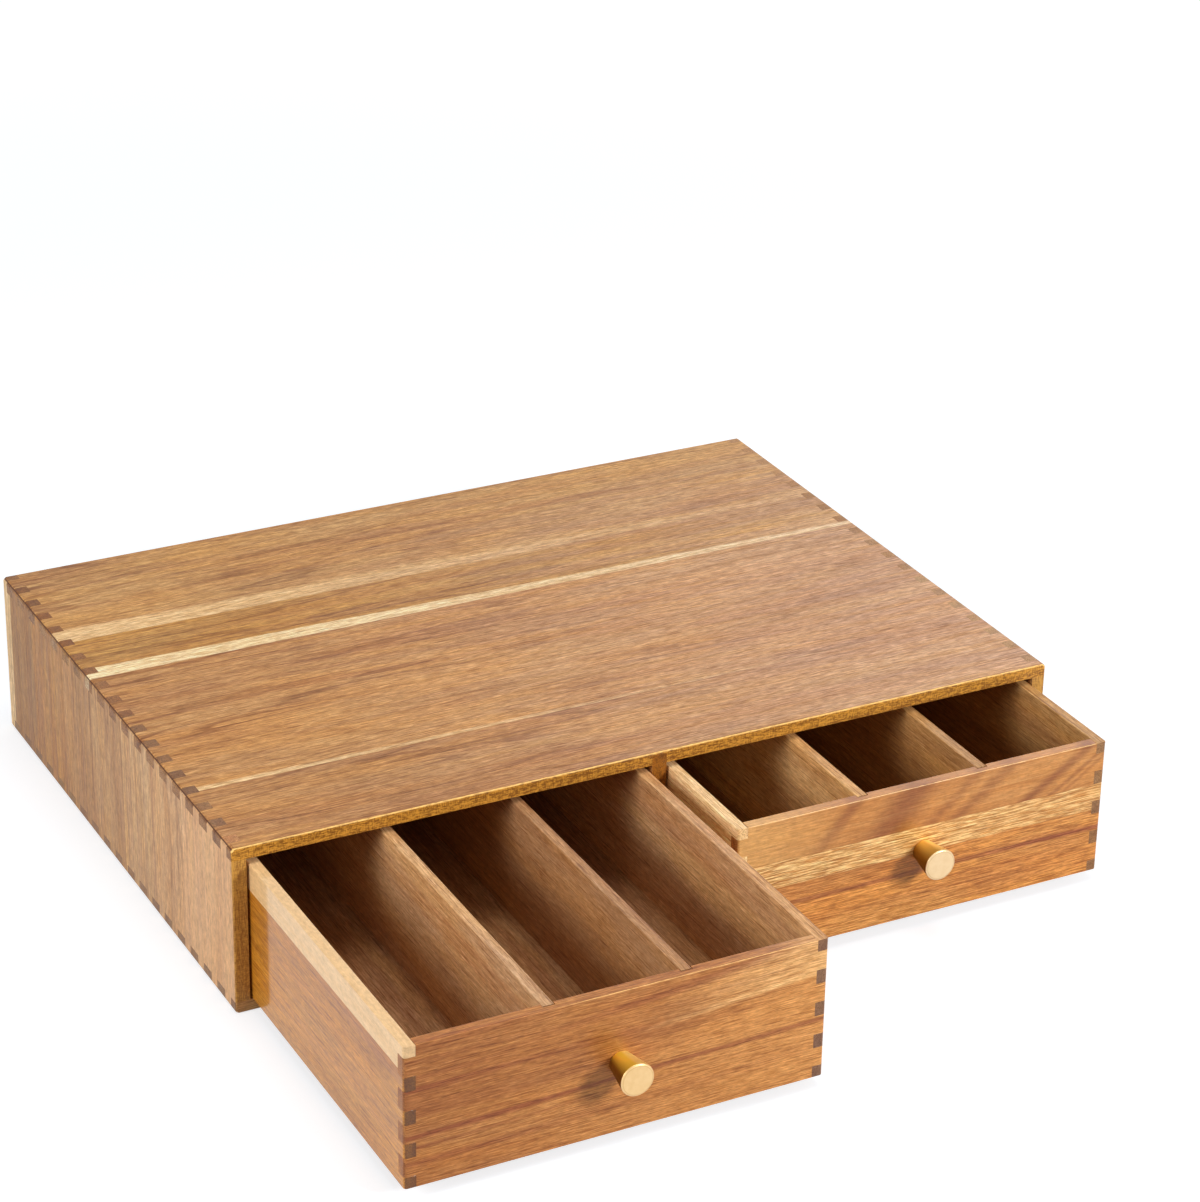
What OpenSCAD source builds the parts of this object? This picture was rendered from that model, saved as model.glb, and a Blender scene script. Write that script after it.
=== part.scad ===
// Coffee pod drawer: a low finger jointed hardwood case, with two drawers side by side that slide out to the
// front. Each drawer has three bays for coffee capsules and a brass knob.
// X runs to the right seen from the front, Y to the back and Z up. The origin is the centre of the case's
// footprint, on the surface that it stands on. All sizes are in millimetres.

/* [Case] */
// Width of the case over its side boards
case_w = 430; // [360:1:520]
// Depth of the case from its front edges to its back panel
case_d = 311; // [240:1:400]
// Height of the case over its top and bottom boards
case_h = 85.5; // [72:0.5:120]
// Thickness of the top board
top_t = 6.3; // [5:0.1:12]
// Thickness of the bottom board
bottom_t = 6; // [5:0.1:12]
// Thickness of each side board
side_t = 7.2; // [5:0.1:14]
// Thickness of the back panel
back_t = 6; // [3:0.1:12]
// Thickness of the partition between the drawers
partition_t = 7.6; // [5:0.1:14]
// Wood left over the partition where it is let into the top board
partition_skin = 1.2; // [0.6:0.1:3]
// Depth that the partition is let into the bottom board
partition_housing = 3; // [1:0.1:4]
// Rounding of the case's outer edges that run from front to back
case_edge_r = 2; // [0.5:0.1:3]
// Rounding of the edges around the case's front and rear outlines
case_front_r = 1; // [0.3:0.1:2]
// How far along each edge the case's eight corners are sanded round
case_corner_ease = 2.6; // [0.5:0.1:4]

/* [Case finger joints] */
// Width of each finger of the side boards
case_finger_w = 7; // [4:0.1:12]
// Width of each finger of the top and bottom boards, between two fingers of a side board
case_finger_gap = 9.64; // [5:0.02:18]
// Width of the corner finger of the top and bottom boards at the front
case_finger_start = 5.6; // [3:0.1:12]
// Narrowest finger that is cut at the end of a row
finger_least = 2; // [1:0.1:4]

/* [Drawer fit] */
// Running gap between a drawer and each wall beside it
drawer_side_gap = 1.3; // [0.5:0.1:3]
// Running gap between a drawer and the bottom board that carries it
drawer_ride_gap = 0.3; // [0.2:0.05:1]
// Gap between a drawer and the top board
drawer_top_gap = 3; // [1:0.1:8]
// Gap between a closed drawer and the back panel
drawer_back_gap = 0.5; // [0.3:0.1:5]
// How far the left drawer stands open
left_open = 166; // [0:1:200]
// How far the right drawer stands open
right_open = 66.5; // [0:0.5:200]

/* [Drawer boards] */
// Thickness of the drawer front
front_t = 5.8; // [4.5:0.1:10]
// Thickness of each drawer side
drawer_side_t = 5.5; // [4.5:0.1:10]
// Thickness of the drawer back
drawer_back_t = 5.5; // [4.5:0.1:10]
// Thickness of each divider
divider_t = 5.5; // [3:0.1:10]
// Thickness of the bottom panel
panel_t = 3; // [2:0.1:6]
// Height of the bottom panel over the lower edges of the drawer
panel_up = 6.5; // [3:0.1:12]
// Depth of the groove that holds the bottom panel
panel_groove = 2.5; // [1:0.1:4]
// Depth of the housings in the front and the back that hold a divider
divider_housing = 2.6; // [1:0.1:4]
// Space left beyond each end of a divider in its housing
divider_end_gap = 0.6; // [0.1:0.1:0.8]
// Space left at each side of a divider in its housing
divider_slack = 0.15; // [0.05:0.05:0.4]
// Rounding of the boards' upper edges
drawer_arris = 0.5; // [0.2:0.1:1.2]
// Rounding of each drawer's upright corners
drawer_corner_r = 1.6; // [0.3:0.1:2.5]

/* [Drawer finger joints] */
// Width of each finger of the drawer sides
drawer_finger_w = 7; // [4:0.1:10]
// Width of each finger of the front and the back, between two fingers of a side
drawer_finger_gap = 9.4; // [5:0.1:14]

/* [Knob] */
// Diameter of the knob where it meets the drawer front
knob_base_d = 10.8; // [8:0.1:14]
// Diameter of the knob's face
knob_face_d = 15.9; // [12:0.1:30]
// Length of the knob out of the drawer front
knob_length = 16; // [13:0.5:30]
// Width of the bevel around the knob's face
knob_bevel = 0.6; // [0.2:0.1:1.5]
// Diameter of the screw
screw_d = 4; // [3:0.1:5]
// Depth that the screw reaches into the knob
screw_reach = 9; // [5:0.5:10]
// Space beyond the screw's tip in the knob
screw_tip_gap = 1; // [0.5:0.1:2]
// Radial gap between the screw and the knob's thread
thread_gap = 0.05; // [0.02:0.01:0.1]
// Radial gap between the screw and its hole in the drawer front
screw_hole_gap = 0.25; // [0.1:0.05:0.6]
// Diameter of the screw's head
screw_head_d = 8; // [7:0.1:12]
// Height of the screw's head
screw_head_h = 2.4; // [1.8:0.1:4]
// Width of each slot of the cross recess in the screw's head
recess_w = 0.9; // [0.5:0.1:1.2]
// Length of each slot of the cross recess
recess_length = 4.4; // [3:0.1:5]
// Depth of the cross recess
recess_depth = 1.2; // [0.5:0.1:1.5]

/* [Hidden] */
$fn = 64;

// How far a cutter runs past the face that it opens
past = 1;
bay_count = 3;

// Planes of the case
case_left = -case_w / 2;
case_front = -case_d / 2;
top_z = case_h - top_t;
inner_h = top_z - bottom_t;
back_y = case_front + case_d - back_t;

// The ball that rounds a corner of the case. It crosses the three edges where the easing of each begins, and its
// centre lies well inside, so that it meets the faces at a flat angle.
corner_ball_depth = 2.4 * case_corner_ease;
corner_ball_r = norm([corner_ball_depth, corner_ball_depth, corner_ball_depth - case_corner_ease]);

// Fingers of the side boards, from the front edge backwards
case_pitch = case_finger_w + case_finger_gap;
case_last_finger = floor((case_d - case_finger_start - finger_least) / case_pitch);
case_fingers = [for (i = [0 : case_last_finger]) case_finger_start + i * case_pitch];

// One drawer, in its own frame: its front left lower corner is the origin
drawer_w = (case_w - 2 * side_t - partition_t) / 2 - 2 * drawer_side_gap;
drawer_d = case_d - back_t - drawer_back_gap;
drawer_h = inner_h - drawer_ride_gap - drawer_top_gap;
drawer_back_y = drawer_d - drawer_back_t;
drawer_inner_w = drawer_w - 2 * drawer_side_t;
bay_w = (drawer_inner_w - (bay_count - 1) * divider_t) / bay_count;
bay_pitch = bay_w + divider_t;
panel_top = panel_up + panel_t;

// Fingers of the drawer sides, spread up and down from the middle of the height
drawer_pitch = drawer_finger_w + drawer_finger_gap;
drawer_outer_finger = floor((drawer_h / 2 + drawer_finger_w / 2 - finger_least) / drawer_pitch);
drawer_fingers = [
    for (i = [-drawer_outer_finger : drawer_outer_finger]) drawer_h / 2 - drawer_finger_w / 2 + i * drawer_pitch
];

// The knob's screw
screw_length = front_t + screw_reach;
knob_bore = screw_reach + screw_tip_gap;

// Colours
dark_wood = [0.62, 0.42, 0.29];
mid_wood = [0.70, 0.48, 0.32];
light_wood = [0.80, 0.62, 0.44];
panel_wood = [0.78, 0.66, 0.50];

// A rectangle with rounded corners, its lower left corner at the origin
module rounded_rectangle(w, h, r) {
    translate([r, 0]) square([w - 2 * r, h]);
    translate([0, r]) square([w, h - 2 * r]);
    for (x = [r, w - r], y = [r, h - r]) {
        translate([x, y]) circle(r);
    }
}

// Draws a profile given in Y and Z, and runs it along X
module along_x(length) {
    rotate([90, 0, 90]) linear_extrude(length) children();
}

// Draws a profile given in X and Z, and runs it along Y
module along_y(length) {
    translate([0, length, 0]) rotate([90, 0, 0]) linear_extrude(length) children();
}

// What is sanded off a corner of the case that lies at the origin
module corner_waste() {
    difference() {
        translate([-past, -past, -past]) cube(past + corner_ball_depth);
        translate([corner_ball_depth, corner_ball_depth, corner_ball_depth]) sphere(corner_ball_r);
    }
}

// The outside of the closed case, which every case board is sanded flush to
module case_envelope() {
    difference() {
        translate([case_left, case_front, 0]) intersection() {
            along_y(case_d) rounded_rectangle(case_w, case_h, case_edge_r);
            along_x(case_w) rounded_rectangle(case_d, case_h, case_front_r);
            linear_extrude(case_h) rounded_rectangle(case_w, case_d, case_front_r);
        }
        for (x = [0, 1], y = [0, 1], z = [0, 1]) {
            translate([0, 0, case_h / 2]) mirror([x, 0, 0]) mirror([0, y, 0]) mirror([0, 0, z])
                translate([case_left, case_front, -case_h / 2]) corner_waste();
        }
    }
}

// The fingers of a case side as a row of bars from the front to the back
module case_finger_bars(height) {
    for (y = case_fingers) {
        translate([y, 0]) square([min(case_finger_w, case_d - y), height]);
    }
}

// One side board, standing at the left edge of the case
module case_side_board() {
    translate([case_left, case_front, 0]) along_x(side_t) {
        translate([0, bottom_t]) square([case_d, inner_h]);
        case_finger_bars(case_h);
    }
}

// The sockets that the fingers of both sides fill in a lying board
module case_sockets(low_z, thickness) {
    for (x = [case_left - past, -case_left - side_t]) {
        translate([x, case_front, low_z - past]) along_x(side_t + past) case_finger_bars(thickness + 2 * past);
    }
}

// The partition as a plain board, which also cuts its own housings
module partition_board() {
    translate([-partition_t / 2, case_front, bottom_t - partition_housing])
        cube([partition_t, case_d - back_t, case_h - partition_skin - bottom_t + partition_housing]);
}

// A board that lies over the whole footprint and is jointed to both sides and the partition
module case_lying_board(low_z, thickness) {
    intersection() {
        case_envelope();
        difference() {
            translate([case_left, case_front, low_z]) cube([case_w, case_d, thickness]);
            case_sockets(low_z, thickness);
            partition_board();
        }
    }
}

module case_top() {
    color(dark_wood) case_lying_board(top_z, top_t);
}

module case_bottom() {
    color(dark_wood) case_lying_board(0, bottom_t);
}

module case_left_side() {
    color(mid_wood) intersection() {
        case_envelope();
        case_side_board();
    }
}

module case_right_side() {
    color(mid_wood) intersection() {
        case_envelope();
        mirror([1, 0, 0]) case_side_board();
    }
}

module case_back() {
    color(light_wood) translate([case_left + side_t, back_y, bottom_t]) cube([case_w - 2 * side_t, back_t, inner_h]);
}

module case_partition() {
    color(mid_wood) intersection() {
        case_envelope();
        partition_board();
    }
}

// Puts a drawer's piece into the left or the right opening of the case
module in_left_drawer() {
    translate([case_left + side_t + drawer_side_gap, case_front - left_open, bottom_t + drawer_ride_gap])
        children();
}

module in_right_drawer() {
    translate([partition_t / 2 + drawer_side_gap, case_front - right_open, bottom_t + drawer_ride_gap])
        children();
}

// The outside of a drawer, which its four boards are sanded flush to
module drawer_envelope() {
    linear_extrude(drawer_h) rounded_rectangle(drawer_w, drawer_d, drawer_corner_r);
}

// The section of an upright board, with its two upper edges rounded
module eased_section(thickness, height) {
    square([thickness, height - drawer_arris]);
    translate([drawer_arris, 0]) square([thickness - 2 * drawer_arris, height]);
    for (x = [drawer_arris, thickness - drawer_arris]) {
        translate([x, height - drawer_arris]) circle(drawer_arris);
    }
}

// An upright board that runs along X from the origin
module eased_board_x(length, thickness, height) {
    along_x(length) eased_section(thickness, height);
}

// An upright board that runs along Y from the origin
module eased_board_y(length, thickness, height) {
    along_y(length) eased_section(thickness, height);
}

// The fingers of a drawer side as bars of the given length
module drawer_finger_bars(length) {
    for (z = drawer_fingers) {
        translate([0, max(0, z)]) square([length, min(drawer_h, z + drawer_finger_w) - max(0, z)]);
    }
}

// The bottom panel as a plain board, which also cuts its own groove
module panel_board() {
    translate([drawer_side_t - panel_groove, front_t - panel_groove, panel_up])
        cube([drawer_inner_w + 2 * panel_groove, drawer_back_y - front_t + 2 * panel_groove, panel_t]);
}

// Space for the ends of both dividers, cut into the front and the back
module divider_housings() {
    for (i = [1 : bay_count - 1]) {
        translate([
            drawer_side_t + i * bay_pitch - divider_t - divider_slack,
            front_t - divider_housing,
            panel_top
        ])
            cube([
                divider_t + 2 * divider_slack,
                drawer_back_y - front_t + 2 * divider_housing,
                drawer_h - panel_top + past
            ]);
    }
}

// A front or back board: its ends are cut out where the fingers of the sides pass
module cross_board(thickness, y) {
    difference() {
        intersection() {
            drawer_envelope();
            translate([0, y, 0]) eased_board_x(drawer_w, thickness, drawer_h);
        }
        for (x = [-past, drawer_w - drawer_side_t]) {
            translate([x, y - past, 0]) along_x(drawer_side_t + past) drawer_finger_bars(thickness + 2 * past);
        }
        panel_board();
        divider_housings();
    }
}

module drawer_front() {
    color(mid_wood) difference() {
        cross_board(front_t, 0);
        translate([drawer_w / 2, front_t + past, drawer_h / 2])
            rotate([90, 0, 0]) cylinder(h = front_t + 2 * past, d = screw_d + 2 * screw_hole_gap);
    }
}

module drawer_back() {
    color(light_wood) cross_board(drawer_back_t, drawer_back_y);
}

// A side board at the left edge of a drawer
module drawer_side_board() {
    difference() {
        intersection() {
            drawer_envelope();
            eased_board_y(drawer_d, drawer_side_t, drawer_h);
            along_x(drawer_side_t) {
                translate([front_t, 0]) square([drawer_back_y - front_t, drawer_h]);
                drawer_finger_bars(drawer_d);
            }
        }
        panel_board();
    }
}

module drawer_left_side() {
    color(light_wood) drawer_side_board();
}

module drawer_right_side() {
    color(light_wood) translate([drawer_w, 0, 0]) mirror([1, 0, 0]) drawer_side_board();
}

module drawer_bottom() {
    color(panel_wood) panel_board();
}

// A divider, counted from the left: its ends stand in the housings and it rests on the bottom panel
module drawer_divider(number) {
    reach = divider_housing - divider_end_gap;
    color(light_wood) translate([
        drawer_side_t + number * bay_pitch - divider_t,
        front_t - reach,
        panel_top
    ])
        eased_board_y(drawer_back_y - front_t + 2 * reach, divider_t, drawer_h - panel_top);
}

// Places something on the axis of the knob, at the drawer's front face, with +Z out of the drawer
module on_knob_axis() {
    translate([drawer_w / 2, 0, drawer_h / 2]) rotate([90, 0, 0]) children();
}

module drawer_knob() {
    color("goldenrod") on_knob_axis() difference() {
        rotate_extrude() polygon([
            [0, 0],
            [knob_base_d / 2, 0],
            [knob_face_d / 2, knob_length - knob_bevel],
            [knob_face_d / 2 - knob_bevel, knob_length],
            [0, knob_length]
        ]);
        translate([0, 0, -past]) cylinder(h = knob_bore + past, d = screw_d + 2 * thread_gap);
    }
}

module drawer_knob_screw() {
    head_seat = -front_t;
    color("silver") on_knob_axis() difference() {
        union() {
            translate([0, 0, head_seat]) cylinder(h = screw_length, d = screw_d);
            translate([0, 0, head_seat - screw_head_h]) cylinder(h = screw_head_h, d = screw_head_d);
        }
        for (turn = [0, 90]) {
            rotate([0, 0, turn]) translate([-recess_length / 2, -recess_w / 2, head_seat - screw_head_h - past])
                cube([recess_length, recess_w, recess_depth + past]);
        }
    }
}

case_top();
case_bottom();
case_left_side();
case_right_side();
case_back();
case_partition();
in_left_drawer() drawer_front();  // left_drawer_front
in_left_drawer() drawer_left_side();  // left_drawer_left_side
in_left_drawer() drawer_right_side();  // left_drawer_right_side
in_left_drawer() drawer_back();  // left_drawer_back
in_left_drawer() drawer_bottom();  // left_drawer_bottom
in_left_drawer() drawer_divider(1);  // left_drawer_left_divider
in_left_drawer() drawer_divider(2);  // left_drawer_right_divider
in_left_drawer() drawer_knob();  // left_drawer_knob
in_left_drawer() drawer_knob_screw();  // left_drawer_knob_screw
in_right_drawer() drawer_front();  // right_drawer_front
in_right_drawer() drawer_left_side();  // right_drawer_left_side
in_right_drawer() drawer_right_side();  // right_drawer_right_side
in_right_drawer() drawer_back();  // right_drawer_back
in_right_drawer() drawer_bottom();  // right_drawer_bottom
in_right_drawer() drawer_divider(1);  // right_drawer_left_divider
in_right_drawer() drawer_divider(2);  // right_drawer_right_divider
in_right_drawer() drawer_knob();  // right_drawer_knob
in_right_drawer() drawer_knob_screw();  // right_drawer_knob_screw
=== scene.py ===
"""Dresses the coffee pod drawer: wood, brass and steel, a pale floor, studio light and the camera."""

import math
from dataclasses import dataclass

import bpy
from mathutils import Matrix, Vector


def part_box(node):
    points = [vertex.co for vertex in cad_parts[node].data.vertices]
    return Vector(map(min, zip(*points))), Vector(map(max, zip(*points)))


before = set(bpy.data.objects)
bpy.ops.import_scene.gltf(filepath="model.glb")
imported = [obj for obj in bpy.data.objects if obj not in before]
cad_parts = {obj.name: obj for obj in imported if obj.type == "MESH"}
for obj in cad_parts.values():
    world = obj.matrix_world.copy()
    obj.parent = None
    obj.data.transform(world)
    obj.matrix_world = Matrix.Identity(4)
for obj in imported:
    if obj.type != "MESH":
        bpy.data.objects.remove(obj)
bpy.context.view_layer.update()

MM = 0.001
X, Y, Z = 0, 1, 2
AXES = ((1.0, 0.0, 0.0), (0.0, 1.0, 0.0), (0.0, 0.0, 1.0))
LEFT, RIGHT, FRONT, UP = (-1.0, 0.0, 0.0), AXES[X], (0.0, -1.0, 0.0), AXES[Z]

# The camera, at the photograph's viewing angle
CAMERA_PLACE = (-0.71973, -1.46899, 0.88580)
CAMERA_AZIMUTH = math.radians(-27.600)
CAMERA_ELEVATION = math.radians(25.760)
CAMERA_ROLL = math.radians(1.088)
CAMERA_LENS_MM = 108.76
SENSOR_MM = 36.0

# The floor and the room are white where the camera or a reflection sees them. The floor's shadows are lifted
# by a strength that grows with the distance in metres from the object.
FLOOR_SIZE = 12.0
FLOOR_COLOUR = (0.52, 0.55, 0.59, 1.0)
FLOOR_LIFT = 0.61
FAR_LIFT = 0.88
FAR_FLOOR = (0.7, 2.2)
ROOM_STRENGTH = 0.27

# The lamps: azimuth from the front and elevation in degrees, distance and diameter in metres, power in watts
LAMPS = {
    "key": (30, 24, 1.9, 0.45, 24.6),
    "fill": (-80, 23, 2.2, 1.00, 27.4),
    "overhead": (0, 86, 1.9, 0.90, 9.0),
    "rim": (139, 26, 2.4, 0.90, 3.5),
}
LAMP_TARGET = (0.0, -0.05, 0.05)


def planes(node, axis):
    """Where a CAD node starts and ends along an axis, in millimetres."""
    low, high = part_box(node)
    return low[axis] / MM, high[axis] / MM


CASE_LEFT, CASE_RIGHT = planes("case_bottom", X)
CASE_FRONT, CASE_BACK = planes("case_bottom", Y)
CASE_BASE, CASE_TOP = planes("case_left_side", Z)
DRAWER_BASE, DRAWER_TOP = planes("left_drawer_front", Z)


def srgb(red, green, blue):
    """A display colour, 0 to 255, as the linear RGBA that shaders take."""
    def linear(value):
        value /= 255
        return value / 12.92 if value <= 0.04045 else ((value + 0.055) / 1.055) ** 2.4

    return (linear(red), linear(green), linear(blue), 1.0)


# ---------------------------------------------------------------- camera, floor and light


def direction(azimuth, elevation):
    """The unit vector from the object towards a place in front of it, turned by azimuth to the right."""
    return Vector((
        math.sin(azimuth) * math.cos(elevation),
        -math.cos(azimuth) * math.cos(elevation),
        math.sin(elevation),
    ))


def make_camera():
    data = bpy.data.cameras.new("camera")
    data.lens = CAMERA_LENS_MM
    data.sensor_width = SENSOR_MM
    camera = bpy.data.objects.new("camera", data)
    bpy.context.scene.collection.objects.link(camera)
    back = direction(CAMERA_AZIMUTH, CAMERA_ELEVATION)
    right = (-back).cross(Vector(UP)).normalized()
    up = right.cross(-back)
    cos_r, sin_r = math.cos(CAMERA_ROLL), math.sin(CAMERA_ROLL)
    axes = (cos_r * right + sin_r * up, -sin_r * right + cos_r * up, back)
    camera.matrix_world = Matrix.Translation(CAMERA_PLACE) @ Matrix(axes).transposed().to_4x4()
    bpy.context.scene.camera = camera


def background_ray(tree):
    """1 for a ray from the camera, a reflection or clear glass, 0 for one that lights a matt surface."""
    path = tree.add("ShaderNodeLightPath")
    mirrored = tree.math("MAXIMUM", path.outputs["Is Glossy Ray"], path.outputs["Is Transmission Ray"])
    return tree.math("MAXIMUM", path.outputs["Is Camera Ray"], mirrored)


def make_floor():
    bpy.ops.mesh.primitive_plane_add(size=FLOOR_SIZE)
    floor = bpy.context.object
    floor.name = "floor"
    tree = Tree("floor_white")
    white = tree.add("ShaderNodeBsdfDiffuse", Color=FLOOR_COLOUR)
    distance = tree.vector("LENGTH", tree.add("ShaderNodeTexCoord").outputs["Object"], None)
    lift = tree.add("ShaderNodeEmission", Strength=tree.spread(distance, *FAR_FLOOR, FLOOR_LIFT, FAR_LIFT))
    lifted = tree.add("ShaderNodeAddShader")
    tree.link(white.outputs[0], lifted.inputs[0])
    tree.link(lift.outputs[0], lifted.inputs[1])
    mix = tree.add("ShaderNodeMixShader")
    tree.link(background_ray(tree), mix.inputs[0])
    tree.link(white.outputs[0], mix.inputs[1])
    tree.link(lifted.outputs[0], mix.inputs[2])
    tree.link(mix.outputs[0], tree.output)
    floor.data.materials.append(tree.material)


def make_room():
    world = bpy.data.worlds.new("room")
    bpy.context.scene.world = world
    world.use_nodes = True
    tree = Tree.of(world.node_tree)
    background = tree.nodes["Background"]
    strength = tree.spread(background_ray(tree), 0.0, 1.0, ROOM_STRENGTH, 1.0, smooth=False)
    tree.link(strength, background.inputs["Strength"])
    background.inputs["Color"].default_value = (1, 1, 1, 1)


def make_lamps():
    for name, (azimuth, elevation, distance, size, power) in LAMPS.items():
        data = bpy.data.lights.new(name, "AREA")
        data.shape = "DISK"
        data.size = size
        data.energy = power
        lamp = bpy.data.objects.new(name, data)
        bpy.context.scene.collection.objects.link(lamp)
        towards = direction(math.radians(azimuth), math.radians(elevation))
        lamp.location = Vector(LAMP_TARGET) + distance * towards
        lamp.rotation_euler = towards.to_track_quat("Z", "Y").to_euler()


# ---------------------------------------------------------------- node trees


class Tree:
    """A node tree. Most methods add one node and give back its output socket."""

    def __init__(self, name):
        self.material = bpy.data.materials.new(name)
        self.material.use_nodes = True
        self.use(self.material.node_tree)
        self.nodes.clear()
        self.output = self.nodes.new("ShaderNodeOutputMaterial").inputs["Surface"]

    @classmethod
    def of(cls, node_tree):
        """Wraps a node tree that exists already."""
        tree = cls.__new__(cls)
        tree.use(node_tree)
        return tree

    def use(self, node_tree):
        self.nodes = node_tree.nodes
        self.links = node_tree.links

    def link(self, start, end):
        self.links.new(start, end)

    def put(self, value, socket):
        """Joins another node's output to a socket, or sets the socket to a plain value."""
        if isinstance(value, bpy.types.NodeSocket):
            self.links.new(value, socket)
        elif value is not None:
            socket.default_value = value

    def add(self, kind, **inputs):
        node = self.nodes.new(kind)
        for name, value in inputs.items():
            self.put(value, node.inputs[name.replace("_", " ")])
        return node

    def math(self, operation, a, b=None, c=None):
        node = self.nodes.new("ShaderNodeMath")
        node.operation = operation
        for socket, value in zip(node.inputs, (a, b, c)):
            self.put(value, socket)
        return node.outputs[0]

    def vector(self, operation, a, b):
        node = self.nodes.new("ShaderNodeVectorMath")
        node.operation = operation
        self.put(a, node.inputs[0])
        self.put(b, node.inputs["Scale"] if operation == "SCALE" else node.inputs[1])
        return node.outputs["Value" if operation in ("DOT_PRODUCT", "LENGTH") else "Vector"]

    def combine(self, x, y, z):
        node = self.nodes.new("ShaderNodeCombineXYZ")
        for socket, value in zip(node.inputs, (x, y, z)):
            self.put(value, socket)
        return node.outputs[0]

    def noise(self, vector, detail, roughness):
        noise = self.add("ShaderNodeTexNoise", Vector=vector, Scale=1.0, Detail=detail, Roughness=roughness)
        return noise.outputs["Fac"]

    def spread(self, value, low, high, to_low=0.0, to_high=1.0, smooth=True):
        """Maps low..high to to_low..to_high and holds it there."""
        node = self.nodes.new("ShaderNodeMapRange")
        node.interpolation_type = "SMOOTHSTEP" if smooth else "LINEAR"
        for socket, number in zip(node.inputs, (value, low, high, to_low, to_high)):
            self.put(number, socket)
        return node.outputs[0]

    def mix(self, factor, a, b, blend="MIX"):
        """Mixes two colours. Inputs 6 and 7 and output 2 are the node's sockets for colours."""
        node = self.nodes.new("ShaderNodeMix")
        node.data_type = "RGBA"
        node.blend_type = blend
        self.put(factor, node.inputs[0])
        self.put(a, node.inputs[6])
        self.put(b, node.inputs[7])
        return node.outputs[2]

    def tint(self, factor, colour, tint):
        """The colour, multiplied by a tint as far as the factor says."""
        return self.mix(factor, colour, (*tint, 1.0), "MULTIPLY")

    def steps(self, value, stops):
        """A ramp that holds each colour from its place on to the next one's."""
        node = self.nodes.new("ShaderNodeValToRGB")
        node.color_ramp.interpolation = "CONSTANT"
        elements = node.color_ramp.elements
        while len(elements) < len(stops):
            elements.new(1.0)
        for element, (place, colour) in zip(elements, stops):
            element.position = place
            element.color = colour
        self.put(value, node.inputs[0])
        return node.outputs[0]

    def bump(self, height, distance_mm, strength):
        bump = self.add("ShaderNodeBump", Height=height, Strength=strength, Distance=distance_mm * MM)
        return bump.outputs[0]

    def surface(self, **inputs):
        """Ends the tree in a Principled shader, and gives back the material."""
        self.link(self.add("ShaderNodeBsdfPrincipled", **inputs).outputs[0], self.output)
        return self.material


# ---------------------------------------------------------------- kinds of wood


class Tone:
    """The colours of one kind of wood, from its middle one: light and dark bands, and the darkest streaks.

    end says how light its end grain is, next to that of the board's other strips.
    """

    LIGHT = (1.13, 1.20, 1.14)
    DARK = (0.84, 0.76, 0.70)
    STREAK = (0.50, 0.35, 0.28)

    def __init__(self, *middle, end=1.0):
        self.light, self.dark, self.streak = (
            (*(value * share for value, share in zip(srgb(*middle), shares)), 1.0)
            for shares in (self.LIGHT, self.DARK, self.STREAK)
        )
        self.end = (end, end, end, 1.0)


@dataclass
class Band:
    """A streak of another colour along the grain. low and high give its edges at both ends of the board.

    soft is how softly those edges fade, fade how strong the band is at both ends, and grain how far it keeps
    the wood's own light colour. A calm of 1 leaves it smooth, up to its end grain, and above cuts it off
    below a place on the board. fresh is how far it vanishes in the end grain, and straw gives it short
    streaks of two colours of its own.
    """

    ends: tuple
    low: tuple
    high: tuple
    soft: tuple = (0.15, 0.15)
    fade: tuple = (1.0, 1.0)
    wander: float = 0.0
    colour: tuple = (222, 184, 130)
    grain: float = 0.35
    calm: float = 0.0
    above: float = None
    fresh: float = 0.75
    straw: bool = False


# The case's strips
HEART = Tone(189, 134, 80)
FIRST = Tone(185, 132, 81)
OLIVE = Tone(188, 135, 70)
UMBER = Tone(192, 140, 84)
SAND = Tone(206, 157, 110, end=0.58)
SAND_CORNER = Tone(206, 157, 110, end=1.22)
BUFF = Tone(195, 149, 99, end=0.76)
FAWN = Tone(190, 141, 95, end=0.66)
GREY_TAN = Tone(192, 145, 100, end=0.70)
WHEAT = Tone(190, 146, 98)
TAUPE = Tone(180, 131, 80)
SEPIA = Tone(170, 120, 69)
HONEY = Tone(170, 117, 57)
DUSKY = Tone(155, 106, 52)

# The drawers' boards. The tones of the boards inside the drawers are partly painted light and shade, lighter
# or darker as their bays are lit.
TAN = Tone(188, 121, 38)
ORANGE = Tone(188, 123, 64)
GOLD = Tone(192, 133, 79)
COPPER = Tone(203, 133, 64)
INNER = Tone(185, 136, 94)
ROSE = Tone(206, 158, 112)
PALE = Tone(250, 208, 150)
BLUSH = Tone(198, 151, 108)
DIM = Tone(170, 122, 82)
DEN = Tone(204, 155, 104)
SHADY = Tone(182, 132, 80)

# Front edges that took up lacquer: the dark and the light colour of their flecks
TOP_AMBER = ((124, 75, 20), (218, 154, 56))
SIDE_AMBER = ((150, 100, 40), (202, 148, 64))
# the partition's front edge, between the drawers, is darker as painted shade
SHADED_AMBER = ((108, 62, 14), (170, 104, 28))

# End grain, as a tint of the board's own colour
LONG_END = (0.56, 0.54, 0.56)
BOTTOM_END = (0.46, 0.43, 0.44)
SIDE_END = (0.63, 0.51, 0.44)
FRONT_END = (0.74, 0.70, 0.76)
FADED_END = (0.60, 0.58, 0.66)
RIGHT_END = (0.86, 0.84, 0.86)
DRAWER_END = (0.35, 0.31, 0.36)
PALE_END = (0.90, 0.86, 0.80)

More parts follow.
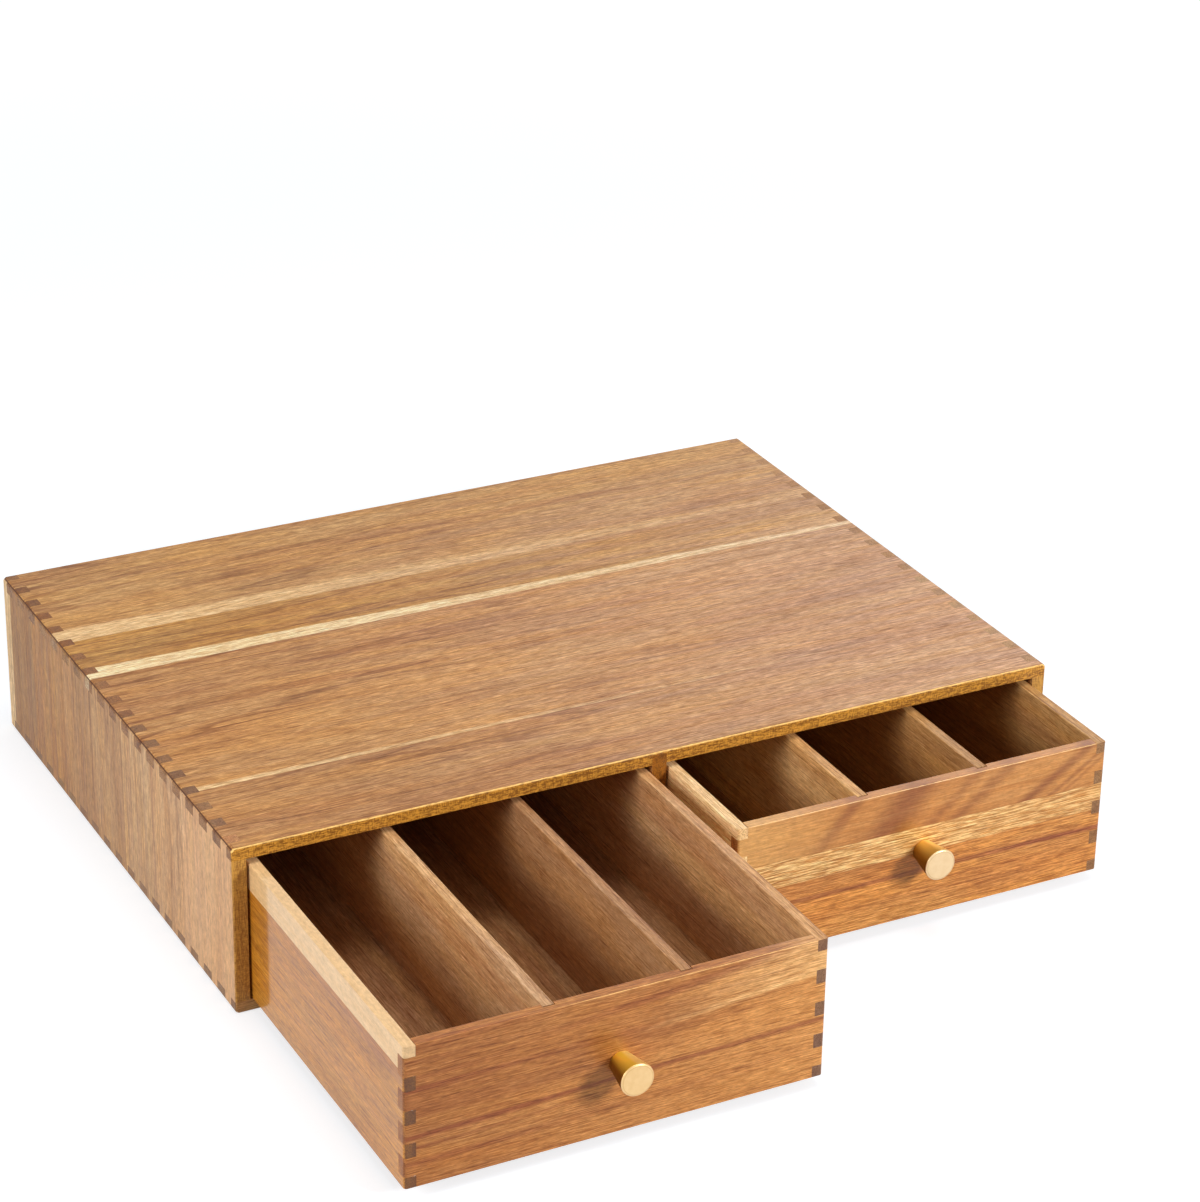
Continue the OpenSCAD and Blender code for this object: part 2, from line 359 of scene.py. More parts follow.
# Tints of the fine pattern. The light ones are whitish, partly as painted glints of the lacquer.
GOLDEN = (1.04, 1.00, 0.88)
DULL = (0.97, 0.99, 1.04)
PORE = (0.52, 0.38, 0.29)
GLINT = (1.38, 1.50, 1.75)
LATE_WOOD = (0.52, 0.40, 0.32)
FIBRE_DARK = (0.66, 0.56, 0.42)
FIBRE_LIGHT = (1.30, 1.43, 1.68)
# painted shade on the line just behind a front arris
ARRIS_SHADE_TINT = (0.66, 0.50, 0.42)

# Colours of the painted highlight and painted shade on arrises, of sapwood and of single streaks
ARRIS_HIGHLIGHT = (250, 204, 118)
ARRIS_SHADE = (70, 27, 6)
CREAM = (231, 190, 136)
STRAW_LIGHT = (246, 202, 130)
STRAW_DARK = (192, 130, 64)
FIGURE_COLOUR = (138, 78, 40)
RED = (134, 62, 34)
BROWN = (158, 94, 46)
BRIGHT = (212, 145, 76)
FAIR = (240, 186, 118)

# The layers of a board's pattern, each with the length and width of its spots in millimetres, and the noise's
# detail and roughness. Their order gives each layer its own place in the noise.
LAYERS = {
    "waver": (150, 46, 2.0, 0.50),
    "clouds": (110, 24, 2.0, 0.50),
    "hues": (80, 16, 2.0, 0.50),
    "streaky": (75, 3.2, 3.0, 0.55),
    "waves": (190, 17.0, 2.0, 0.50),
    "vein": (150, 0.9, 2.0, 0.55),
    "dark_dash": (21, 0.75, 2.0, 0.60),
    "light_dash": (15, 0.80, 2.0, 0.60),
    "fibre": (9, 0.46, 2.0, 0.65),
    "pores": (5.5, 0.42, 2.0, 0.60),
    "straw": (16, 0.75, 3.0, 0.65),
}

# How far apart two boards' seeds, two layers and two boards' rings lie in the noise
SEED_STEP = 7.31
LAYER_STEP = 3.17
RING_STEP = 3.7

# The growth rings' length and width, and how far a slow wave pushes them and the bands to the side
RING_LENGTH_MM = 420
RING_WIDTH_MM = 8.0
WANDER_MM = 13.0

# The most that a strip's pattern is shifted to the side, how many times that it is shifted along the grain,
# and the step that spreads the strips' shifts evenly
STRIP_SHIFT_MM = 173.0
SHIFT_ALONG = 7.0
EVEN_STEP = 0.381966

# Dark lines to a full wave of the late wood, and the lightest base colour that a board may have
WAVE_LINES = 6.0
BRIGHTEST = 0.96

GLUE_LINE_MM = 0.22
BUMP_MM = 0.03


# ---------------------------------------------------------------- boards


class Board(Tree):
    """A board's node tree, in millimetres along the grain, to its side and through the board.

    The colour goes through the methods from heartwood on in their order.
    """

    def __init__(self, name, grain, across, strips, seed):
        super().__init__(name)
        self.seed = seed
        self.grain = grain
        coordinates = self.add("ShaderNodeTexCoord")
        self.normal = coordinates.outputs["Normal"]
        split = self.add("ShaderNodeSeparateXYZ", Vector=coordinates.outputs["Object"])
        places = [self.math("MULTIPLY", split.outputs[axis], 1 / MM) for axis in (X, Y, Z)]
        through = X + Y + Z - grain - across
        self.along, self.side, self.through = (places[axis] for axis in (grain, across, through))
        self.shift = 0.0
        self.glue = None
        self.lively = None
        self.lay(strips)
        self.layer = {
            layer: self.spots(number, *spots) for number, (layer, spots) in enumerate(LAYERS.items(), 1)
        }
        self.wander = self.math("MULTIPLY_ADD", self.layer["waver"], 2 * WANDER_MM, -WANDER_MM)

    def lay(self, strips):
        """Sets the board's colours from its strips, each with its start in mm and its tone.

        Each strip shows another part of the tree, so its pattern is shifted by a number of its own.
        """
        kinds = ("light", "dark", "streak", "end")
        if len(strips) == 1:
            self.light, self.dark, self.streak, self.end = (getattr(strips[0][1], kind) for kind in kinds)
            return
        low, high = strips[0][0], strips[-1][0] + 1
        share = self.spread(self.side, low, high, smooth=False)
        places = [(start - low) / (high - low) for start, _ in strips]
        self.light, self.dark, self.streak, self.end = (
            self.steps(share, [(place, getattr(tone, kind)) for place, (_, tone) in zip(places, strips)])
            for kind in kinds
        )
        greys = [((number * EVEN_STEP) % 1.0,) * 3 + (1.0,) for number in range(len(strips))]
        self.shift = self.math("MULTIPLY", self.steps(share, list(zip(places, greys))), STRIP_SHIFT_MM)
        for start, _ in strips[1:-1]:
            gap = self.math("ABSOLUTE", self.math("SUBTRACT", self.side, start))
            line = self.spread(gap, 0.0, GLUE_LINE_MM, 1.0, 0.0)
            self.glue = line if self.glue is None else self.math("MAXIMUM", self.glue, line)

    def spots(self, number, length, width, detail, roughness):
        """Noise with spots of a length along the grain and a width across it, unlike any other layer's."""
        offset = self.seed * SEED_STEP + number * LAYER_STEP
        shifted = self.math("MULTIPLY_ADD", self.shift, SHIFT_ALONG, self.along)
        return self.noise(self.combine(
            self.math("MULTIPLY_ADD", shifted, 1 / length, offset),
            self.math("MULTIPLY", self.math("ADD", self.side, self.shift), 1 / width),
            self.math("MULTIPLY", self.through, 1 / width),
        ), detail, roughness)

    def flecks(self, length, width):
        """Noise with flecks of a length along the grain and a width across it, the same on all strips."""
        return self.noise(self.combine(
            self.math("MULTIPLY", self.along, 1 / length),
            self.math("MULTIPLY", self.side, 1 / width),
            self.math("MULTIPLY", self.through, 1 / width),
        ), 3.0, 0.65)

    def rings(self, pith):
        """Growth rings around a pith, given by its place to the side and in depth, with a slow wave."""
        side = self.math("ADD", self.math("SUBTRACT", self.side, pith[0]), self.wander)
        deep = self.math("SUBTRACT", self.math("MULTIPLY_ADD", self.wander, 0.4, self.through), pith[1])
        squares = (self.math("MULTIPLY", distance, distance) for distance in (side, deep))
        radius = self.math("SQRT", self.math("ADD", *squares))
        return self.noise(self.combine(
            self.math("MULTIPLY", self.along, 1 / RING_LENGTH_MM),
            self.math("MULTIPLY", self.math("ADD", radius, self.shift), 1 / RING_WIDTH_MM),
            self.seed * RING_STEP,
        ), 3.0, 0.55)

    def facing(self, way):
        """The cosine between the surface's normal and a direction."""
        return self.vector("DOT_PRODUCT", self.normal, way)

    def end_grain(self):
        """1 on the faces at the board's ends."""
        return self.spread(self.math("ABSOLUTE", self.facing(AXES[self.grain])), 0.55, 0.85)

    def subdued(self, mask):
        """A mask of fine detail, weaker where a calm band lies."""
        return mask if self.lively is None else self.math("MULTIPLY", mask, self.lively)

    def line_inside(self, tone):
        """Another tone on the right face, inside a drawer: the tone of the drawer's inside boards."""
        inside = self.spread(self.facing(RIGHT), 0.45, 0.75)
        self.light = self.mix(inside, self.light, tone.light)
        self.dark = self.mix(inside, self.dark, tone.dark)
        self.streak = self.mix(inside, self.streak, tone.streak)

    def heartwood(self, pith, swing, streaks):
        """Light and dark rings, clouds of hue and the darkest streaks."""
        rings = self.rings(pith)
        clouds, streaky, hues = (self.layer[name] for name in ("clouds", "streaky", "hues"))
        tone = self.math("MULTIPLY_ADD", clouds, 0.28, self.math("MULTIPLY", streaky, 0.20))
        tone = self.math("MULTIPLY_ADD", rings, 0.52, tone)
        colour = self.mix(self.spread(tone, 0.5 - swing, 0.5 + swing), self.dark, self.light)
        golden, dull = (self.tint(1.0, colour, tint) for tint in (GOLDEN, DULL))
        colour = self.mix(self.spread(hues, 0.36, 0.64), golden, dull)
        mask = self.math("MULTIPLY", self.spread(rings, 0.56, 0.72), self.spread(streaky, 0.42, 0.62))
        return self.mix(self.math("MULTIPLY", mask, streaks), colour, self.streak)

    def late_wood(self, colour, lines):
        """Nested wavy lines, each darkening slowly and ending sharply, in some places only.

        Two strengths are those at the case's left and right end.
        """
        level = self.math("FRACT", self.math("MULTIPLY", self.layer["waves"], WAVE_LINES))
        late = self.math("MULTIPLY", self.spread(level, 0.55, 0.92), self.spread(level, 0.92, 1.0, 1.0, 0.0))
        late = self.math("MULTIPLY", late, self.spread(self.layer["clouds"], 0.62, 0.40, 0.3, 1.0))
        if isinstance(lines, tuple):
            lines = self.spread(self.along, CASE_LEFT, CASE_RIGHT, *lines, smooth=False)
        return self.tint(self.math("MULTIPLY", late, lines), colour, LATE_WOOD)

    def band_mask(self, band):
        """Where a band lies, from 0 to 1."""
        share = self.spread(self.along, *band.ends, smooth=False)
        place = self.math("MULTIPLY_ADD", self.wander, band.wander, self.side)
        low = self.math("MULTIPLY_ADD", share, band.low[1] - band.low[0], band.low[0])
        high = self.math("MULTIPLY_ADD", share, band.high[1] - band.high[0], band.high[0])
        rise = self.spread(self.math("SUBTRACT", place, low), -band.soft[0], band.soft[0])
        fall = self.spread(self.math("SUBTRACT", high, place), -band.soft[1], band.soft[1])
        mask = self.math("MULTIPLY", rise, fall)
        if band.above is not None:
            mask = self.math("MULTIPLY", mask, self.math("GREATER_THAN", self.side, band.above))
        return self.math("MULTIPLY", mask, self.spread(share, 0, 1, *band.fade, smooth=False))

    def streaked(self, colour, bands, end):
        """Lays the bands over the wood, less so on its ends."""
        for band in bands:
            cut = self.math("MULTIPLY_ADD", end, -band.fresh, 1.0)
            mask = self.math("MULTIPLY", self.band_mask(band), cut)
            if band.straw:
                straw = self.spread(self.layer["straw"], 0.40, 0.60)
                over = self.mix(straw, srgb(*STRAW_DARK), srgb(*STRAW_LIGHT))
            else:
                grain = self.spread(self.layer["streaky"], 0.40, 0.75, 0.0, band.grain)
                over = self.mix(grain, srgb(*band.colour), self.light)
            colour = self.mix(mask, colour, over)
            if band.calm:
                self.lively = self.math("MULTIPLY_ADD", mask, -band.calm, 1.0)
        return colour

    def fine_grain(self, colour, veins, dashes, mottle, fibres):
        """Veins, dashes and pores, each with the noise it starts and is full at, then blotches and fibres."""
        details = (
            ("vein", 0.55, 0.66, veins, PORE),
            ("dark_dash", 0.55, 0.68, dashes, PORE),
            ("light_dash", 0.55, 0.70, dashes * 0.8, GLINT),
            ("pores", 0.60, 0.70, 0.5, PORE),
        )
        for layer, start, full, strength, tint in details:
            mask = self.spread(self.layer[layer], start, full, 0.0, strength)
            colour = self.tint(self.subdued(mask), colour, tint)
        blotches = self.flecks(3.4, 1.7)
        dim = self.spread(blotches, 0.25, 0.75, 1 - 2 * mottle, 1 + 2 * mottle, smooth=False)
        colour = self.vector("SCALE", colour, dim)
        fibre = self.spread(self.layer["fibre"], 0.34, 0.66)
        fibre_tint = self.mix(fibre, (*FIBRE_DARK, 1.0), (*FIBRE_LIGHT, 1.0))
        colour = self.mix(self.subdued(fibres), colour, fibre_tint, "MULTIPLY")
        if self.glue is not None:
            colour = self.tint(self.math("MULTIPLY", self.glue, 0.5), colour, PORE)
        return colour

    def darker_ends(self, colour, end, end_tint):
        """End grain is darker."""
        ended = self.mix(1.0, self.tint(1.0, colour, end_tint), self.end, "MULTIPLY")
        return self.mix(self.subdued(end), colour, ended)

    def amber_front(self, colour, edge, nicks):
        """Front edges took up more lacquer and turned amber."""
        ticks = self.flecks(0.6, 2.4)
        shade = self.math("MULTIPLY_ADD", ticks, 0.3, self.math("MULTIPLY", self.layer["streaky"], 0.2))
        shade = self.math("MULTIPLY_ADD", nicks, 0.5, shade)
        dark, light = (srgb(*amber) for amber in edge)
        amber = self.mix(self.spread(shade, 0.41, 0.59), dark, light)
        return self.mix(self.spread(self.facing(FRONT), 0.45, 0.75, 0.0, 0.95), colour, amber)

    def painted_front_arris(self, colour, arris_highlight, highlight_ends, nicks):
        """The upper arris of the front edge gets a painted highlight, above a line of painted shade."""
        front = self.facing(FRONT)
        upper = self.spread(self.facing(UP), 0.2, 0.4)
        shade_line_end = self.spread(front, 0.28, 0.40, 1.0, 0.0)
        shade_line = self.math("MULTIPLY", self.spread(front, 0.01, 0.08), shade_line_end)
        bright_end = self.spread(front, 0.80, 0.92, 1.0, 0.0)
        bright = self.math("MULTIPLY", self.spread(front, 0.30, 0.42), bright_end)
        bright = self.math("MULTIPLY", bright, self.spread(nicks, 0.35, 0.60, 0.35, 1.0))
        if highlight_ends:
            bright = self.math("MULTIPLY", bright, self.spread(self.along, *highlight_ends))
        share, arris = arris_highlight
        colour = self.tint(self.math("MULTIPLY", shade_line, upper), colour, ARRIS_SHADE_TINT)
        mask = self.math("MULTIPLY", self.math("MULTIPLY", bright, upper), share)
        return self.mix(mask, colour, srgb(*arris))

    def painted_shade_left_arris(self, colour):
        """The upper arris of the left edge is darkened by a line of painted shade."""
        arris_shade = self.spread(self.math("MULTIPLY", self.facing(UP), self.facing(LEFT)), 0.45, 0.495)
        return self.mix(self.math("MULTIPLY", arris_shade, 0.9), colour, srgb(*ARRIS_SHADE))

    def lacquered(self, colour, gloss, gloss_rough):
        """The finished material: a matt base under a thin coat, with a bump from fibres and pores."""
        colour = self.vector("MINIMUM", colour, (BRIGHTEST,) * 3)
        pores = self.spread(self.layer["pores"], 0.58, 0.72)
        height = self.math("SUBTRACT", self.math("MULTIPLY", self.layer["fibre"], 0.6), pores)
        rough = self.spread(self.layer["streaky"], 0.3, 0.7, 0.42, 0.54)
        return self.surface(
            Base_Color=colour, Roughness=rough, Normal=self.bump(height, BUMP_MM, 0.5),
            Specular_IOR_Level=0.1, Coat_Weight=gloss, Coat_Roughness=gloss_rough,
        )


def dress(node, material, ease_mm=0.12):
    """Gives a CAD node its material, and eases its sharp edges by a hair."""
    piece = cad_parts[node]
    piece.data.materials.clear()
    piece.data.materials.append(material)
    weld = piece.modifiers.new("weld", "WELD")
    weld.merge_threshold = 0.001 * MM
    flat = piece.modifiers.new("flat", "DECIMATE")
    flat.decimate_type = "DISSOLVE"
    flat.angle_limit = math.radians(0.5)
    ease = piece.modifiers.new("ease", "BEVEL")
    ease.width = ease_mm * MM
    ease.segments = 2
    ease.limit_method = "ANGLE"
    ease.angle_limit = math.radians(40)
    shade = piece.modifiers.new("shade", "WEIGHTED_NORMAL")
    shade.keep_sharp = False


def dress_board(node, grain, across, strips, seed, bands=(), pith=(30.0, -28.0), streaks=0.5, lines=0.25,
                veins=0.35, dashes=0.75, fibres=0.55, mottle=0.09, swing=0.12, edge=None, arris_highlight=None,
                highlight_ends=None, arris=False, inside=None, end_tint=LONG_END, gloss=0.35, gloss_rough=0.42):
    """Dresses a CAD node as a lacquered board, with its grain along one axis and its strips across another.

    streaks to swing are the strengths of the pattern, and edge to inside are touches that few boards have:
    amber front edges, a painted highlight and painted shade on arrises, and another tone inside.
    """
    board = Board("wood_" + node, grain, across, strips, seed)
    if inside:
        board.line_inside(inside)
    end = board.end_grain()
    nicks = board.flecks(3.0, 0.55)
    colour = board.heartwood(pith, swing, streaks)
    colour = board.late_wood(colour, lines)
    colour = board.streaked(colour, bands, end)
    colour = board.fine_grain(colour, veins, dashes, mottle, fibres)
    colour = board.darker_ends(colour, end, end_tint)
    if edge:
        colour = board.amber_front(colour, edge, nicks)
    if arris_highlight:
        colour = board.painted_front_arris(colour, arris_highlight, highlight_ends, nicks)
    # a line of painted shade along the left upper arris
    if arris:
        colour = board.painted_shade_left_arris(colour)
    dress(node, board.lacquered(colour, gloss, gloss_rough))


def whole(tone):
    """The strips of a board that is one piece of wood."""
    return [(0.0, tone)]


# ---------------------------------------------------------------- the case


def from_front(*distances):
    """Distances behind the case's front edge, as places along Y."""
    return tuple(CASE_FRONT + distance for distance in distances)


def strips_from_front(*strips):
    """Strips given by their distance behind the case's front edge, up to its back edge."""
    placed = [(CASE_FRONT + distance, tone) for distance, tone in strips]
    return placed + [(CASE_BACK, strips[-1][1])]


def dress_case_top():
    ends = (CASE_LEFT, CASE_RIGHT)
    strips = strips_from_front((0, FIRST), (58.5, HEART), (183, OLIVE), (225, UMBER))
    # three pale strips of sapwood, and a painted sheen: a pale tint that grows towards the right end
    bands = [
        Band(ends, from_front(183, 184.5), from_front(194.2, 188), fade=(1.0, 0.72), colour=(249, 216, 162),
             fresh=0.2),
        Band(ends, from_front(225, 225), from_front(240, 231), (0.2, 3.0), (0.95, 0.1), 0.25,
             (238, 196, 138)),
        Band(ends, from_front(56.5, 58), from_front(59.8, 58.8), (0.2, 1.2), (1.0, 0.1),
             colour=(236, 198, 142)),
        # painted sheen: the top is paler towards its right end
        Band(ends, from_front(-2, -2), from_front(260, 260), (1.0, 80.0), (-0.08, 0.30),
             colour=(232, 194, 168), grain=0.6),
    ]
    # its front arris gets a painted highlight, and its left arris a line of painted shade
    dress_board("case_top", X, Y, strips, 1, bands, (-95.0, 40.0), lines=(1.0, 0.3), fibres=0.85,
                edge=TOP_AMBER, arris_highlight=(1.0, ARRIS_HIGHLIGHT), arris=True, gloss=0.28, gloss_rough=0.5)


def dress_case_sides():
    heights = (CASE_BASE, CASE_TOP)
    # the strips grow darker towards the back: partly their own tones, partly painted shade
    left_strips = strips_from_front(
        (0, SAND_CORNER), (14, SAND), (61, FAWN), (83, GREY_TAN), (100, BUFF), (140, TAUPE), (184, SEPIA),
        (223, HONEY), (267, DUSKY)
    )
    # a pale edge at the back, a calm front corner and a dark vein
    bands = [
        Band(heights, from_front(302.5, 301), from_front(312, 312), (0.5, 0.2)),
        Band(heights, from_front(-8, -8), from_front(70, 50), (1.0, 9.0), (0.5, 0.5), 0.0, (207, 159, 112),
             calm=1.0),
        Band(heights, from_front(183.2, 183.2), from_front(184.6, 184.6), (0.5, 0.3), (-0.9, 0.9), 0.0,
             (96, 58, 34)),
    ]
    # its front arris gets a painted highlight, and its left arris a line of painted shade
    dress_board("case_left_side", Z, Y, left_strips, 3, bands, (-250.0, 80.0), mottle=0.14, swing=0.14,
                veins=0.65, dashes=0.6, edge=SIDE_AMBER, arris_highlight=(1.0, ARRIS_HIGHLIGHT), arris=True,
                end_tint=SIDE_END)
    right_strips = strips_from_front((0, WHEAT), (118, TAUPE), (176, HONEY), (240, UMBER))
    dress_board("case_right_side", Z, Y, right_strips, 4, (), (60.0, 90.0), swing=0.20, edge=SIDE_AMBER,
                end_tint=RIGHT_END)


def dress_case():
    dress_case_top()
    dress_case_sides()
    bottom_strips = strips_from_front((0, UMBER), (92, HEART), (205, OLIVE))
    dress_board("case_bottom", X, Y, bottom_strips, 2, (), (60.0, -40.0), end_tint=BOTTOM_END)
    back_strips = [(CASE_BASE, UMBER), (40.0, WHEAT), (CASE_TOP, WHEAT)]
    dress_board("case_back", X, Z, back_strips, 5, (), (20.0, 140.0))
    dress_board("case_partition", Y, Z, whole(UMBER), 6, edge=SHADED_AMBER)


# ---------------------------------------------------------------- the drawers

UPPER_BOARD_MM = 22
STRAW_STRIP_MM = 14
UPPER_BOARD = DRAWER_TOP - UPPER_BOARD_MM
STRAW_STRIP = UPPER_BOARD - STRAW_STRIP_MM

# The left front's streaks: the depth of their lower and upper edges below the drawer's top at both ends, how
# soft the edges are, how strong they are at both ends, their wander, their colour and how much grain shows
LEFT_FIGURE = (
    ((42, 42), (-2, -2), (5.0, 1.0), (1.0, -0.4), 0.2, BROWN, 0.6),
    ((72, 72), (58, 14), (1.0, 6.0), (-0.1, 0.9), 0.2, BRIGHT, 0.6),
    ((46.6, 41.6), (43.8, 39.4), (1.2, 0.8), (0.75, 0.7), 0.10, RED),
    ((51.4, 47.0), (49.6, 46.0), (1.0, 0.8), (0.6, 0.1), 0.10, RED),
    ((60.0, 55.0), (56.0, 53.0), (1.6, 1.2), (0.55, 0.1), 0.12, RED),
    ((23.5, 20.0), (20.5, 19.0), (1.4, 1.0), (0.6, -0.3), 0.10, RED),
    ((20.0, 0.5), (16.5, -3.5), (1.6, 1.2), (0.1, 0.7), 0.10, RED),
    ((34.0, 16.0), (24.0, -3.0), (3.0, 3.0), (-1.0, 0.7), 0.08, FAIR),
    ((32.0, 16.5), (31.0, 13.5), (0.8, 0.6), (-1.1, 1.0), 0.08, FAIR),
)

# The dark bands that lean across the right front's upper board: how far each is from its left end, its width,
# how dark it is and how much it leans
RIGHT_FIGURE = (
    (53, 8, 0.70, 0.9), (87, 20, 0.85, 0.8), (116, 8, 0.50, 1.2), (133, 10, 0.60, 1.4), (174, 9, 0.85, 1.6),
    (188, 4, 0.60, 1.5), (194, 3, 0.45, 1.4),
)


def below_top(ends, low, high, *look, **more):
    """A band whose edges are given by their depth below the drawers' top at both ends of the board."""
    edges = (tuple(DRAWER_TOP - depth for depth in edge) for edge in (low, high))
    return Band(ends, *edges, *look, **more)


def leaning_band(ends, place, width, depth, lean):
    """A dark band that crosses the right front's upper board at a slant."""
    middle = DRAWER_TOP - UPPER_BOARD_MM / 2
    low, high = (
        tuple((end - ends[0] - place - side * width / 2) / lean + middle for end in ends) for side in (1, -1)
    )
    soft = width / 2 / lean
    return Band(ends, low, high, (soft, soft), (depth, depth), 0.2, FIGURE_COLOUR, above=UPPER_BOARD)


def dress_drawer_fronts():
    left_ends, right_ends = planes("left_drawer_front", X), planes("right_drawer_front", X)
    left_bands = [below_top(left_ends, *streak) for streak in LEFT_FIGURE]
    # the front's upper arris gets a painted highlight
    dress_board("left_drawer_front", X, Z, whole(ORANGE), 11, left_bands, (8.0, -300.0), streaks=0.4,
                fibres=0.7, arris_highlight=(0.8, (246, 196, 120)), highlight_ends=(-150.0, -110.0), end_tint=FRONT_END,
                gloss_rough=0.28)

    right_strips = [(DRAWER_BASE, COPPER), (STRAW_STRIP, COPPER), (UPPER_BOARD, GOLD), (DRAWER_TOP, GOLD)]
    upper = ((UPPER_BOARD_MM, UPPER_BOARD_MM), (-1, -1))
    # the upper board is smooth, with leaning bands, and pale at its left end
    right_bands = [below_top(right_ends, *upper, fade=(0.6, 0.6), colour=(192, 124, 56), grain=0.6, calm=1.0)]
    right_bands += [leaning_band(right_ends, *band) for band in RIGHT_FIGURE]
    right_bands += [
        below_top(right_ends, *upper, fade=(0.9, -2.2), colour=(216, 164, 94)),
        Band(right_ends, (STRAW_STRIP,) * 2, (UPPER_BOARD,) * 2, fade=(1.0, 0.62), straw=True),
        below_top(right_ends, (47.0, 47.5), (44.6, 44.8), (1.0, 0.8), (0.7, 0.8), 0.05, RED),
    ]
    # the front's upper arris gets a painted highlight
    dress_board("right_drawer_front", X, Z, right_strips, 12, right_bands, (44.0, -240.0), streaks=0.3,
                fibres=0.9, arris_highlight=(0.9, (246, 200, 132)), end_tint=FRONT_END, gloss=0.45, gloss_rough=0.24)


def dress_drawer_sides():
    lengths = planes("left_drawer_left_side", Y)
    sap = below_top(lengths, (13, 14), (-1, -1), colour=CREAM, grain=0.15, calm=0.85, fresh=0.0)
    dress_board("left_drawer_left_side", Y, Z, whole(TAN), 13, [sap], (20.0, -330.0), inside=INNER,
                end_tint=DRAWER_END, gloss=0.7, gloss_rough=0.10)
    sides = (
        ("left_drawer_right_side", ROSE, 60.0, DRAWER_END),
        ("right_drawer_left_side", PALE, -60.0, PALE_END),
        ("right_drawer_right_side", SHADY, 260.0, FADED_END),
    )
    for seed, (node, tone, deep, end_tint) in enumerate(sides, 14):
        dress_board(node, Y, Z, whole(tone), seed, (), (20.0, deep), end_tint=end_tint)


def dress_drawer_insides(drawer, seed, tone, left_tone, right_tone):
    dress_board(drawer + "back", X, Z, whole(tone), seed, (), (30.0, 60.0))
    dress_board(drawer + "bottom", Y, X, whole(tone), seed + 1, (), (30.0, -90.0), streaks=0.2)
    dress_board(drawer + "left_divider", Y, Z, whole(left_tone), seed + 2, (), (10.0, -60.0))
    dress_board(drawer + "right_divider", Y, Z, whole(right_tone), seed + 3, (), (50.0, 80.0))


def dress_drawers():
    dress_drawer_fronts()
    dress_drawer_sides()
    # the inside boards' tones are partly painted light and shade
    dress_drawer_insides("left_drawer_", 20, INNER, BLUSH, DIM)
    dress_drawer_insides("right_drawer_", 30, SHADY, DEN, SHADY)


# ---------------------------------------------------------------- metal

RING_INSET_MM = 0.9
RING_SHADE = (0.72, 0.62, 0.46)
# a painted highlight on the upper side of each knob
BRASS_HIGHLIGHT = (240, 206, 124)

# Each knob's colours: the lower and the upper one of its side, which are painted shade and painted light, and
# the two that its face is clouded with. The knobs are alike, and their colours differ as painted light and
# shade.
LEFT_BRASS = (((115, 68, 6), (236, 200, 72)), ((222, 184, 128), (228, 192, 138)))
RIGHT_BRASS = (((121, 77, 4), (200, 164, 78)), ((224, 192, 146), (230, 200, 156)))


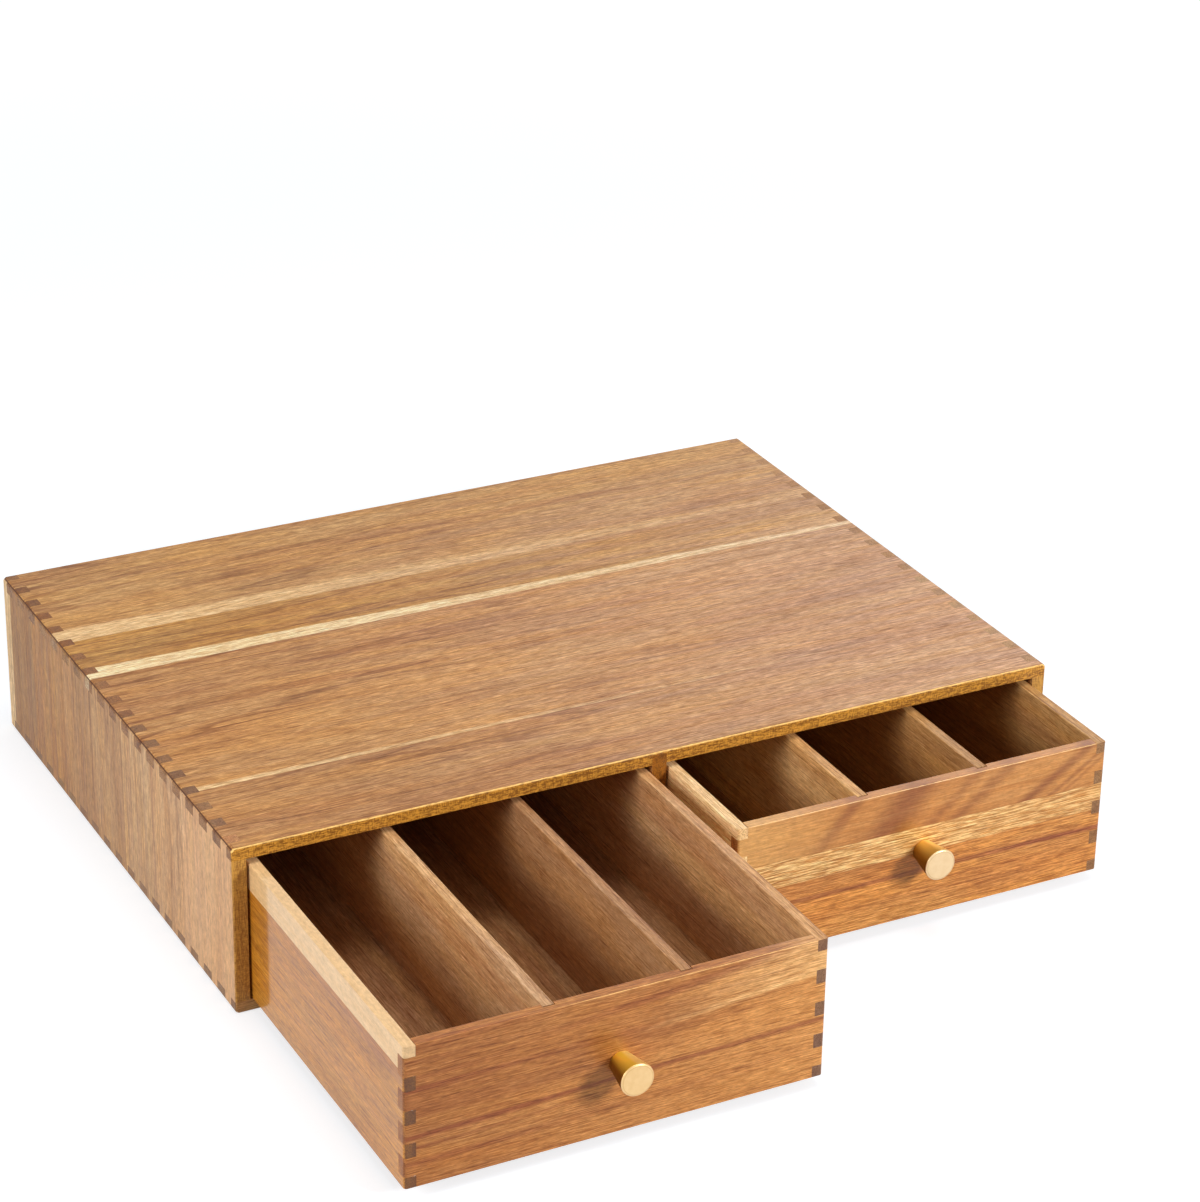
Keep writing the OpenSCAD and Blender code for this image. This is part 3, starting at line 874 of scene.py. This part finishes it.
def brass(knob, sides, faces):
    """Satin brass. Its side is brushed around the axis, with painted shade below and a painted highlight
    above, and its face is paler.
    """
    tree = Tree("brass_" + knob)
    coordinates = tree.add("ShaderNodeTexCoord")
    normal = coordinates.outputs["Normal"]
    place = tree.vector("SCALE", coordinates.outputs["Object"], 1 / MM)
    clouds = tree.noise(tree.vector("MULTIPLY", place, (0.25, 0.25, 0.25)), 3.0, 0.6)
    lines = tree.noise(tree.vector("MULTIPLY", place, (0.6, 9.0, 0.6)), 2.0, 0.7)
    face = tree.spread(tree.vector("DOT_PRODUCT", normal, FRONT), 0.15, 0.50)
    # painted shade on the side's lower part, painted light and a painted highlight on its upper part
    up = tree.vector("DOT_PRODUCT", normal, (0.45, 0.0, 0.89))
    painted_side_colour = tree.mix(tree.spread(up, -0.15, 0.80), *(srgb(*colour) for colour in sides))
    painted_side_colour = tree.mix(tree.spread(up, 0.78, 0.98), painted_side_colour, srgb(*BRASS_HIGHLIGHT))
    face_colour = tree.mix(tree.spread(clouds, 0.3, 0.7), *(srgb(*colour) for colour in faces))

    # painted reflection: the side is lighter towards the drawer, as if it reflected the wood
    depth = tree.add("ShaderNodeSeparateXYZ", Vector=place).outputs["Y"]
    painted_side_colour = tree.vector("SCALE", painted_side_colour, tree.spread(depth, *planes(knob, Y), 1.0, 1.5))

    # painted shade: the face is darker on a thin ring just inside its rim, as if a shallow turned ring lay
    # there
    (left, right), (low, high) = planes(knob, X), planes(knob, Z)
    centre = ((left + right) / 2, 0.0, (low + high) / 2)
    spoke = tree.vector("MULTIPLY", tree.vector("SUBTRACT", place, centre), (1.0, 0.0, 1.0))
    radius = tree.vector("LENGTH", spoke, None)
    gap = tree.math("ABSOLUTE", tree.math("SUBTRACT", radius, (right - left) / 2 - RING_INSET_MM))
    ring = tree.spread(gap, 0.05, 0.25, 1.0, 0.0)
    face_colour = tree.tint(tree.math("MULTIPLY", ring, 0.6), face_colour, RING_SHADE)
    rough = tree.math("MULTIPLY_ADD", face, -0.10, tree.spread(lines, 0.3, 0.7, 0.42, 0.52))
    return tree.surface(Base_Color=tree.mix(face, painted_side_colour, face_colour), Roughness=rough,
                        Normal=tree.bump(lines, 0.008, 0.4), Metallic=0.8)


def steel():
    """Zinc plated steel."""
    tree = Tree("steel")
    place = tree.vector("SCALE", tree.add("ShaderNodeTexCoord").outputs["Object"], 1 / MM)
    clouds = tree.noise(tree.vector("MULTIPLY", place, (0.8, 0.8, 0.8)), 4.0, 0.6)
    colour = tree.mix(tree.spread(clouds, 0.3, 0.7), srgb(176, 178, 180), srgb(206, 206, 204))
    rough = tree.spread(clouds, 0.3, 0.7, 0.28, 0.42)
    return tree.surface(Base_Color=colour, Roughness=rough, Normal=tree.bump(clouds, 0.01, 0.3), Metallic=1.0)


def dress_knobs():
    screw_metal = steel()
    for drawer, (sides, faces) in (("left_drawer_", LEFT_BRASS), ("right_drawer_", RIGHT_BRASS)):
        dress(drawer + "knob", brass(drawer + "knob", sides, faces), 0.2)
        dress(drawer + "knob_screw", screw_metal, 0.15)


make_camera()
make_floor()
make_room()
make_lamps()
dress_case()
dress_drawers()
dress_knobs()

bpy.context.scene.view_settings.view_transform = "Standard"
